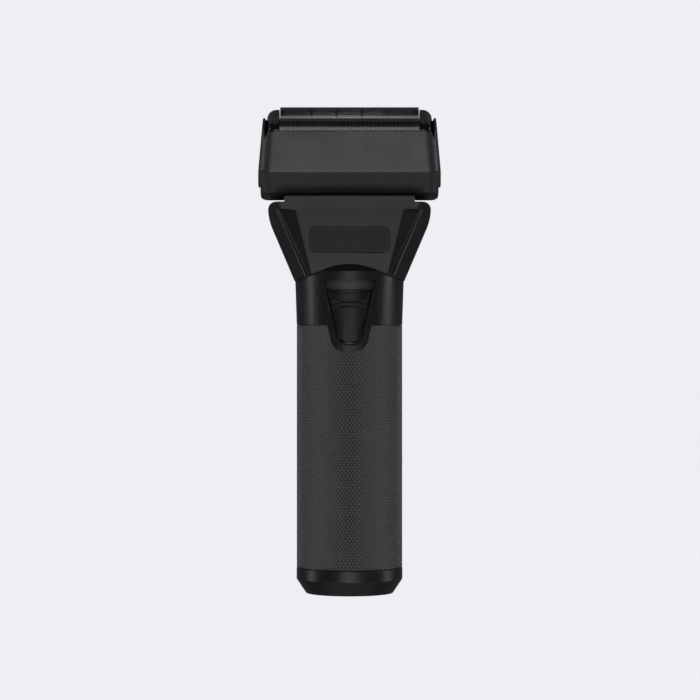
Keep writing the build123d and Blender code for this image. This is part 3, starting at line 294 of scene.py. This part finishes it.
finishes = {
    "painted_shell": makeFinish("satinBlackCoat", (0.0095, 0.0085, 0.0092), 0.31, grain=5000.0,
                                specular=0.25),
    "knurled_sleeve": makeFinish("blackAnodised", (0.044, 0.041, 0.044), 0.46, wear=0.15,
                                 wornColour=(0.07, 0.07, 0.07)),
    "head_shell": makeFinish("headCoat", (0.0130, 0.0118, 0.0127), 0.44, grain=4500.0),
    "slider": makeFinish("sliderPlastic", (0.0065, 0.006, 0.0065), 0.34, specular=0.20),
    "badge": makeFinish("badgeCoat", (0.006, 0.0055, 0.006), 0.31, grain=6000.0, specular=0.15),
    "gloss_black": makeFinish("glossBlack", (0.004, 0.004, 0.0045), 0.12, specular=0.3, wear=0.1,
                              roughSpread=0.05, grainDepth=0.000002),
    "foil_steel": makeFinish("darkFoil", (0.075, 0.070, 0.074), 0.26, metal=1.0, wear=0.0,
                             roughSpread=0.08, dust=0.0, grainDepth=0.000003),
    "inner_plastic": makeFinish("mouldedPlastic", (0.018, 0.018, 0.019), 0.5, grain=2500.0),
    "steel": makeFinish("groundSteel", (0.30, 0.30, 0.31), 0.30, metal=1.0, wear=0.0, dust=0.0,
                        brushed=(60.0, 5000.0)),
    "cell_wrap": makeFinish("cellWrap", (0.02, 0.11, 0.30), 0.32, wear=0.1, coat=0.3),
    "board": makeFinish("circuitBoard", (0.010, 0.085, 0.030), 0.38, wear=0.1,
                        wornColour=(0.3, 0.25, 0.12)),
    "components": makeFinish("chipPackage", (0.012, 0.012, 0.013), 0.55, wear=0.2),
    "copper": makeFinish("enamelledCopper", (0.62, 0.22, 0.08), 0.25, metal=1.0, wear=0.0,
                         brushed=(6000.0, 6000.0)),
    "bronze": makeFinish("sinteredBronze", (0.42, 0.26, 0.11), 0.42, metal=1.0, wear=0.0),
    "contact_metal": makeFinish("platedContact", (0.78, 0.58, 0.25), 0.22, metal=1.0, wear=0.2,
                                wornColour=(0.5, 0.45, 0.4)),
    "rubber": makeFinish("softRubber", (0.014, 0.014, 0.014), 0.72, grain=1800.0, dust=0.12),
    "magnet": makeFinish("ferrite", (0.035, 0.034, 0.034), 0.6, grain=1500.0),
}
print("finishes made", len(finishes))


# knurled grip: diamonds round and up, their depth, the flat share of their tops, the plain rims,
# how far the knurl runs in under the neck's tongue, and the room under its edge
gripSizes = {"across": 88, "rows": 43, "depth": 0.00028, "flatShare": 0.30, "rim": 0.0006,
             "tongueCover": 0.0007, "tongueEdge": 0.002, "tongueGap": 0.0004, "skin": 0.00001,
             "valleyBelow": 0.00003, "wallBand": 0.0002, "rimStep": 0.00001, "smoothAngle": 30,
             "join": 0.00001}
gripLow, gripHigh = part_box("grip_sleeve")
gripRadius = gripHigh.x
tongueSizes = {"topZ": 0.1064, "bottomZ": 0.0843, "halfWidth": 0.009, "slope": 0.235}


def makeKnurlTree(sizes):
    # staggered diamonds, each a low frustum, laid out flat, trimmed and then wrapped round the grip
    tree, given = geometryTree("knurlTree", sizes)
    length = calc(tree, "MULTIPLY", given["Radius"], 2 * math.pi)
    wide = calc(tree, "DIVIDE", length, given["Across"])
    height = calc(tree, "SUBTRACT", given["High"], given["Low"])
    tall = calc(tree, "DIVIDE", height, given["Rows"])
    stud = put(tree, "GeometryNodeMeshCone", {"Vertices": 4, "Radius Top": given["Flat Share"],
                                              "Radius Bottom": 1.0, "Depth": given["Depth"]})
    openStud = put(tree, "GeometryNodeDeleteGeometry", {0: stud.outputs[0], 1: stud.outputs["Bottom"]},
                   domain="FACE")
    size = vector(tree, product(tree, wide, 0.5), product(tree, tall, 0.5), 1.0)
    stud = put(tree, "GeometryNodeTransform", {0: openStud.outputs[0], "Scale": size}).outputs[0]
    layers = []
    for shift, extra in ((0.0, 0), (0.5, 1)):
        count = calc(tree, "ADD", given["Rows"], extra)
        rise = product(tree, tall, calc(tree, "SUBTRACT", count, 1.0))
        grid = put(tree, "GeometryNodeMeshGrid", {"Vertices X": given["Across"], "Vertices Y": count,
                                                  "Size X": calc(tree, "SUBTRACT", length, wide),
                                                  "Size Y": rise})
        move = vector(tree, product(tree, wide, shift))
        layer = put(tree, "GeometryNodeTransform", {0: grid.outputs[0], "Translation": move})
        layers.append(layer.outputs[0])
    join = tree.nodes.new("GeometryNodeJoinGeometry")
    for layer in layers:
        tree.links.new(layer, join.inputs[0])
    studs = put(tree, "GeometryNodeInstanceOnPoints", {"Points": join.outputs[0], "Instance": stud})
    flat = put(tree, "GeometryNodeRealizeInstances", {0: studs.outputs[0]}).outputs[0]
    # faces under the tongue are taken away: its edge hides the cut
    place = splitPlace(tree)
    middle = calc(tree, "MULTIPLY", calc(tree, "ADD", given["Low"], given["High"]), 0.5)
    z = calc(tree, "ADD", place["Y"], middle)
    angle = calc(tree, "DIVIDE", place["X"], given["Radius"])
    sideways = calc(tree, "ABSOLUTE", calc(tree, "MULTIPLY", calc(tree, "SINE", angle), given["Radius"]))
    over = calc(tree, "SUBTRACT", z, given["Notch Low"])
    allowed = calc(tree, "MULTIPLY_ADD", over, given["Notch Slope"], given["Notch Half"])
    inside = calc(tree, "LESS_THAN", sideways, allowed)
    above = calc(tree, "GREATER_THAN", over, 0.0)
    front = calc(tree, "GREATER_THAN", calc(tree, "COSINE", angle), 0.0)
    hidden = product(tree, inside, above, front)
    kept = put(tree, "GeometryNodeDeleteGeometry", {0: flat, 1: hidden}, domain="FACE").outputs[0]
    level = put(tree, "ShaderNodeClamp", {"Value": z, "Min": given["Low"], "Max": given["High"]}).outputs[0]
    radius = calc(tree, "ADD", calc(tree, "SUBTRACT", given["Radius"], given["Depth"]), place["Z"])
    x = calc(tree, "MULTIPLY", calc(tree, "SINE", angle), radius)
    y = product(tree, calc(tree, "COSINE", angle), radius, -1.0)
    wrapped = put(tree, "GeometryNodeSetPosition", {0: kept, "Position": vector(tree, x, y, level)})
    merged = put(tree, "GeometryNodeMergeByDistance", {0: wrapped.outputs[0],
                                                       "Distance": gripSizes["join"]}).outputs[0]
    endTree(tree, merged, given["Material"])
    return tree


# how a copied node's loose triangles are joined, in metres, and its flat faces made whole, in degrees
cleanSizes = {"join": 0.000002, "flatAngle": 0.8}


def cleanCopy(nodeName):
    # a CAD node's mesh with its loose triangles joined and its flat faces whole again
    work = bmesh.new()
    work.from_mesh(frame["nodes"][nodeName].data)
    bmesh.ops.remove_doubles(work, verts=work.verts, dist=cleanSizes["join"])
    bmesh.ops.dissolve_limit(work, angle_limit=math.radians(cleanSizes["flatAngle"]), verts=work.verts,
                             edges=work.edges)
    return work


def smoothByAngle(mesh, degrees):
    mesh.shade_smooth()
    mesh.set_sharp_from_angle(angle=math.radians(degrees))


def makeGripTube():
    # the plain sleeve under the knurl, with a smooth rim at each end
    work = cleanCopy("grip_sleeve")
    rimLow, rimHigh = gripLow.z + gripSizes["rim"], gripHigh.z - gripSizes["rim"]
    step = gripSizes["rimStep"]
    for level in (rimLow, rimLow + step, rimHigh - step, rimHigh):
        everything = work.verts[:] + work.edges[:] + work.faces[:]
        bmesh.ops.bisect_plane(work, geom=everything, plane_co=(0, 0, level), plane_no=(0, 0, 1),
                               dist=0.0000001)
    valley = gripRadius - gripSizes["depth"] - gripSizes["valleyBelow"]
    for v in work.verts:
        radius = math.hypot(v.co.x, v.co.y)
        if radius > gripRadius - gripSizes["wallBand"] and rimLow + step / 2 < v.co.z < rimHigh - step / 2:
            v.co.x *= valley / radius
            v.co.y *= valley / radius
    mesh = bpy.data.meshes.new("gripTube")
    work.to_mesh(mesh)
    work.free()
    smoothByAngle(mesh, gripSizes["smoothAngle"])
    return addPiece(mesh, "gripTube", ["grip_sleeve"], finishes["knurled_sleeve"])


def makeGripKnurl():
    # the notch follows the tongue's outline, a little inside it
    inset = gripSizes["tongueEdge"] - gripSizes["tongueCover"]
    bottom = tongueSizes["bottomZ"] - inset
    half = tongueSizes["halfWidth"] - (tongueSizes["topZ"] - bottom) * tongueSizes["slope"]
    half += inset - gripSizes["tongueGap"]
    values = {"Across": gripSizes["across"], "Rows": gripSizes["rows"],
              "Radius": gripRadius - gripSizes["skin"], "Depth": gripSizes["depth"],
              "Flat Share": gripSizes["flatShare"],
              "Low": gripLow.z + gripSizes["rim"], "High": gripHigh.z - gripSizes["rim"],
              "Notch Low": bottom, "Notch Half": half, "Notch Slope": tongueSizes["slope"],
              "Material": finishes["knurled_sleeve"]}
    mesh = runTree(makeKnurlTree(values), "gripKnurl", values)
    print("knurl faces", len(mesh.polygons))
    return addPiece(mesh, "gripKnurl", ["grip_sleeve"])


makeGripTube()
makeGripKnurl()
print("grip made")


# perforated foils: the holes' spacing, how open they are, the sheet, and the plain bands
foilSizes = {"pitch": 0.00075, "openShare": 0.36, "sheet": 0.0001, "bandStep": 0.0087, "bandHalf": 0.00035,
             "edgeBand": 0.0007, "endBand": 0.0011, "cellJoin": 0.00002, "sheetJoin": 0.000002}


def within(tree, value, limit):
    # keeps a value between minus the limit and the limit
    return put(tree, "ShaderNodeClamp", {"Value": value, "Min": product(tree, limit, -1.0),
                                         "Max": limit}).outputs[0]


def makeFoilTree(sizes):
    # hexagons on two staggered grids, opened, with solid bands, bent over the arch and given a thickness
    tree, given = geometryTree("foilTree", sizes)
    side = calc(tree, "DIVIDE", given["Pitch"], math.sqrt(3))
    rowStep = calc(tree, "MULTIPLY", side, 3.0)
    hexagon = put(tree, "GeometryNodeMeshCircle", {"Vertices": 6, "Radius": side}, fill_type="NGON")
    pointUp = vector(tree, 0.0, 0.0, math.radians(30))
    hexagon = put(tree, "GeometryNodeTransform", {0: hexagon.outputs[0], "Rotation": pointUp}).outputs[0]
    join = tree.nodes.new("GeometryNodeJoinGeometry")
    for shift in (0.0, 0.5):
        wide = product(tree, given["Pitch"], calc(tree, "SUBTRACT", given["Count X"], 1.0))
        tall = product(tree, rowStep, calc(tree, "SUBTRACT", given["Count Y"], 1.0))
        grid = put(tree, "GeometryNodeMeshGrid", {"Vertices X": given["Count X"],
                                                  "Vertices Y": given["Count Y"],
                                                  "Size X": wide, "Size Y": tall})
        move = vector(tree, product(tree, given["Pitch"], shift), product(tree, rowStep, shift))
        layer = put(tree, "GeometryNodeTransform", {0: grid.outputs[0], "Translation": move}).outputs[0]
        tree.links.new(layer, join.inputs[0])
    cells = put(tree, "GeometryNodeInstanceOnPoints", {"Points": join.outputs[0], "Instance": hexagon})
    flat = put(tree, "GeometryNodeRealizeInstances", {0: cells.outputs[0]}).outputs[0]
    flat = put(tree, "GeometryNodeMergeByDistance", {0: flat, "Distance": foilSizes["cellJoin"]}).outputs[0]
    place = splitPlace(tree)
    outX = calc(tree, "GREATER_THAN", calc(tree, "ABSOLUTE", place["X"]), given["Half Length"])
    outY = calc(tree, "GREATER_THAN", calc(tree, "ABSOLUTE", place["Y"]), given["Half Width"])
    flat = put(tree, "GeometryNodeDeleteGeometry", {0: flat, 1: calc(tree, "MAXIMUM", outX, outY)},
               domain="FACE").outputs[0]
    x = within(tree, place["X"], given["Half Length"])
    y = within(tree, place["Y"], given["Half Width"])
    flat = put(tree, "GeometryNodeSetPosition", {0: flat, "Position": vector(tree, x, y)}).outputs[0]
    lifted = put(tree, "GeometryNodeExtrudeMesh", {"Mesh": flat, "Offset Scale": 0.0, "Individual": True},
                 mode="FACES")
    opened = put(tree, "GeometryNodeScaleElements", {0: lifted.outputs[0], 1: lifted.outputs["Top"],
                                                     2: given["Open Share"]}).outputs[0]
    # which cells stay closed: bands across the foil, its long edges and its ends
    halfStep = product(tree, given["Band Step"], 0.5)
    fromBand = calc(tree, "PINGPONG", calc(tree, "ADD", place["X"], halfStep), halfStep)
    clearOfBand = calc(tree, "GREATER_THAN", fromBand, given["Band Half"])
    inEdge = calc(tree, "LESS_THAN", calc(tree, "ABSOLUTE", place["Y"]),
                  calc(tree, "SUBTRACT", given["Half Width"], given["Edge Band"]))
    inEnd = calc(tree, "LESS_THAN", calc(tree, "ABSOLUTE", place["X"]),
                 calc(tree, "SUBTRACT", given["Half Length"], given["End Band"]))
    holes = product(tree, clearOfBand, inEdge, inEnd, lifted.outputs["Top"])
    net = put(tree, "GeometryNodeDeleteGeometry", {0: opened, 1: holes}, domain="FACE").outputs[0]
    # bend: a half round top and straight skirts
    arc = calc(tree, "MULTIPLY", given["Radius"], math.pi / 2)
    angle = calc(tree, "DIVIDE", within(tree, place["Y"], arc), given["Radius"])
    drop = calc(tree, "MAXIMUM", calc(tree, "SUBTRACT", calc(tree, "ABSOLUTE", place["Y"]), arc), 0.0)
    v = calc(tree, "MULTIPLY", calc(tree, "SINE", angle), given["Radius"])
    w = calc(tree, "SUBTRACT", calc(tree, "MULTIPLY", calc(tree, "COSINE", angle), given["Radius"]), drop)
    bentPlace = vector(tree, place["X"], calc(tree, "ADD", v, given["Centre V"]),
                       calc(tree, "ADD", w, given["Centre W"]))
    outer = put(tree, "GeometryNodeSetPosition", {0: net, "Position": bentPlace}).outputs[0]
    walls = put(tree, "GeometryNodeExtrudeMesh", {"Mesh": outer, "Individual": False,
                                                  "Offset Scale": product(tree, given["Sheet"], -1.0)},
                mode="FACES").outputs[0]
    turned = put(tree, "GeometryNodeFlipFaces", {0: walls}).outputs[0]
    both = tree.nodes.new("GeometryNodeJoinGeometry")
    tree.links.new(outer, both.inputs[0])
    tree.links.new(turned, both.inputs[0])
    solid = put(tree, "GeometryNodeMergeByDistance", {0: both.outputs[0],
                                                      "Distance": foilSizes["sheetJoin"]}).outputs[0]
    placed = put(tree, "GeometryNodeTransform", {0: solid, "Rotation": vector(tree, given["Lean"])})
    endTree(tree, placed.outputs[0], given["Material"])
    return tree


def makeFoils():
    for nodeName in ("front_foil", "back_foil"):
        low, high = headBox(nodeName)
        radius = (high.y - low.y) / 2
        centreW = high.z - radius
        halfWidth = radius * math.pi / 2 + centreW - low.z
        pitch = foilSizes["pitch"]
        values = {"Count X": int(2 * high.x / pitch) + 3,
                  "Count Y": int(2 * halfWidth / (pitch * math.sqrt(3))) + 3,
                  "Pitch": pitch, "Open Share": foilSizes["openShare"], "Half Length": high.x,
                  "Half Width": halfWidth, "Radius": radius, "Sheet": foilSizes["sheet"],
                  "Band Step": foilSizes["bandStep"], "Band Half": foilSizes["bandHalf"],
                  "Edge Band": foilSizes["edgeBand"], "End Band": foilSizes["endBand"],
                  "Centre V": (low.y + high.y) / 2, "Centre W": centreW, "Lean": headLean,
                  "Material": finishes["foil_steel"]}
        name = nodeName.split("_")[0] + "FoilNet"
        mesh = runTree(makeFoilTree(values), name, values)
        print(name, "faces", len(mesh.polygons))
        addPiece(mesh, name, [nodeName])


makeFoils()


# softened casings: node, width of the small rounds, angle in degrees over which an edge is rounded
softNodes = {
    "base_cap": (0.00015, 24), "badge_plate": (0.00012, 30), "switch_slider": (0.0002, 24),
    "foil_frame": (0.00025, 24), "head_base": (0.00025, 24), "centre_bar": (0.0002, 30),
    "catch_button": (0.00012, 30), "neck_front_shell": (0.0002, 24), "neck_back_shell": (0.0002, 24),
}

# the neck's long outer ridges: the width of their round, and which edges count as ridges
ridgeSizes = {"width": 0.0015, "outerFrom": 0.018, "leastLength": 0.008, "leastAngle": 8,
              "mostAngle": 70, "segments": 6, "leastRise": 0.7, "aboveGrip": 0.015, "leastDepth": 0.003}
# rounding and shading: the neck's short edges are left sharp, so that its curved seams stay clean
softSizes = {"segments": 2, "leastEdge": 3, "neckEdge": 0.0025, "smoothAngle": 34, "neckAngle": 13}


def roundEdges(work, edges, width, segments):
    bmesh.ops.bevel(work, geom=edges, offset=width, offset_type="OFFSET", segments=segments,
                    profile=0.5, affect="EDGES", clamp_overlap=False)


def findRidges(work, lowest):
    # the long straight ridges between the neck's flat facets
    found = []
    for edge in work.edges:
        if not edge.is_manifold or not edge.is_convex or edge.calc_length() < ridgeSizes["leastLength"]:
            continue
        angle = math.degrees(edge.calc_face_angle(0))
        middle = (edge.verts[0].co + edge.verts[1].co) / 2
        along = (edge.verts[1].co - edge.verts[0].co).normalized()
        if abs(along.z) < ridgeSizes["leastRise"] or middle.z < lowest:
            continue
        outside = abs(middle.x) > ridgeSizes["outerFrom"] and abs(middle.y) >= ridgeSizes["leastDepth"]
        if outside and ridgeSizes["leastAngle"] < angle < ridgeSizes["mostAngle"]:
            found.append(edge)
    return found


def evenNormals(mesh):
    # large faces keep their flat shade, the small rounds between them take the turn
    holder = bpy.data.objects.new("shadeMaker", mesh)
    scene.collection.objects.link(holder)
    modifier = holder.modifiers.new("even", "WEIGHTED_NORMAL")
    modifier.keep_sharp = True
    bpy.context.view_layer.update()
    graph = bpy.context.evaluated_depsgraph_get()
    finished = bpy.data.meshes.new_from_object(holder.evaluated_get(graph), depsgraph=graph)
    bpy.data.objects.remove(holder)
    return finished


def makeSoftCasings():
    for nodeName, (width, angle) in softNodes.items():
        work = cleanCopy(nodeName)
        isNeck = nodeName.startswith("neck")
        if isNeck:
            lowest = gripHigh.z + ridgeSizes["aboveGrip"]
            ridges = findRidges(work, lowest)
            print(nodeName, "ridges", len(ridges))
            roundEdges(work, ridges, ridgeSizes["width"], ridgeSizes["segments"])
        shortest = softSizes["neckEdge"] if isNeck else softSizes["leastEdge"] * width
        sharp = [e for e in work.edges if e.is_manifold and e.calc_face_angle(0) > math.radians(angle)
                 and e.calc_length() > shortest]
        roundEdges(work, sharp, width, softSizes["segments"])
        mesh = bpy.data.meshes.new(nodeName + "Soft")
        work.to_mesh(mesh)
        work.free()
        smoothByAngle(mesh, softSizes["neckAngle" if isNeck else "smoothAngle"])
        mesh = evenNormals(mesh)
        mesh.name = nodeName + "Soft"
        addPiece(mesh, nodeName + "Soft", [nodeName], finishes[slotOf[nodeName]])
    print("casings softened", len(softNodes))


makeSoftCasings()

# every other node keeps its own mesh and gets its finish
for nodeName, obj in frame["nodes"].items():
    for index in range(len(obj.data.materials)):
        obj.data.materials[index] = finishes[slotOf[nodeName]]
print("nodes finished", len(frame["nodes"]))


# pale stage: its size, the steps of its bend, its own glow and its plain surface
stageSizes = {"width": 4.0, "front": -1.6, "wall": 1.6, "bend": 0.8, "height": 2.6, "steps": 12,
              "colour": (0.855, 0.862, 0.90), "glow": 0.997, "surface": (0.02, 0.02, 0.022)}


def makeStage():
    # pale floor that sweeps up into a wall behind
    work = bmesh.new()
    bend = stageSizes["bend"]
    line = [(stageSizes["front"], 0.0), (stageSizes["wall"] - bend, 0.0)]
    for i in range(1, stageSizes["steps"] + 1):
        turn = math.pi / 2 * i / stageSizes["steps"]
        line.append((stageSizes["wall"] - bend + bend * math.sin(turn),
                     bend - bend * math.cos(turn)))
    line.append((stageSizes["wall"], stageSizes["height"]))
    half = stageSizes["width"] / 2
    pairs = [(work.verts.new((-half, y, z)), work.verts.new((half, y, z))) for y, z in line]
    for (a, b), (c, d) in zip(pairs, pairs[1:]):
        work.faces.new((a, b, d, c))
    mesh = bpy.data.meshes.new("paleSweep")
    work.to_mesh(mesh)
    work.free()
    mesh.shade_smooth()
    sweep = bpy.data.objects.new("paleSweep", mesh)
    scene.collection.objects.link(sweep)
    material = bpy.data.materials.new("paleSweep")
    material.use_nodes = True
    shader = material.node_tree.nodes["Principled BSDF"]
    shader.inputs["Base Color"].default_value = (*stageSizes["surface"], 1)
    shader.inputs["Roughness"].default_value = 1.0
    shader.inputs["Specular IOR Level"].default_value = 0.0
    shader.inputs["Emission Color"].default_value = (*stageSizes["colour"], 1)
    shader.inputs["Emission Strength"].default_value = stageSizes["glow"]
    mesh.materials.append(material)
    sweep.visible_glossy = False
    sweep.visible_diffuse = False
    sweep.visible_shadow = False


# soft lamps: place, target, width, height, power in watts; and the dim air round them
lamps = {
    "leftStrip": ((-0.62, 0.0, 0.12), (0, 0, 0.08), 0.16, 0.9, 1.45),
    "rightStrip": ((0.62, 0.0, 0.12), (0, 0, 0.08), 0.16, 0.9, 1.45),
    "topPanel": ((0.0, 0.30, 0.90), (0, 0, 0.12), 0.5, 0.25, 0.12),
    "highPanel": ((0.0, -1.2, 0.62), (0, 0, 0.12), 0.8, 0.40, 2.6),
    "frontPanel": ((0.0, -1.3, 0.10), (0, 0, 0.10), 0.55, 0.5, 1.3),
    "lowPanel": ((0.0, -1.2, -0.34), (0, 0, 0.12), 0.9, 0.45, 4.4),
    "floorGlow": ((0.0, -0.25, -0.30), (0, 0, 0.05), 0.8, 0.5, 0.55),
}


roomSizes = {"colour": (0.9, 0.92, 1.0), "strength": 0.10}


def makeLamps():
    for name, (place, target, width, height, power) in lamps.items():
        light = bpy.data.lights.new(name, "AREA")
        light.shape = "RECTANGLE"
        light.size, light.size_y = width, height
        light.energy = power
        lamp = bpy.data.objects.new(name, light)
        lamp.location = place
        lamp.rotation_euler = (Vector(target) - Vector(place)).to_track_quat("-Z", "Y").to_euler()
        scene.collection.objects.link(lamp)
    world = bpy.data.worlds.new("studio")
    world.use_nodes = True
    air = world.node_tree.nodes["Background"].inputs
    air[0].default_value = (*roomSizes["colour"], 1)
    air[1].default_value = roomSizes["strength"]
    scene.world = world


cameraSizes = {"sensor": 36.0, "lens": 135.6, "place": (0.00017, -0.9, 0.0828)}


def makeCamera():
    camera = bpy.data.cameras.new("camera")
    camera.sensor_width = cameraSizes["sensor"]
    camera.lens = cameraSizes["lens"]
    viewer = bpy.data.objects.new("camera", camera)
    viewer.location = cameraSizes["place"]
    viewer.rotation_euler = (math.radians(90), 0, 0)
    scene.collection.objects.link(viewer)
    scene.camera = viewer


makeStage()
makeLamps()
makeCamera()
scene.view_settings.view_transform = "Standard"
print("stage, lamps and camera set")
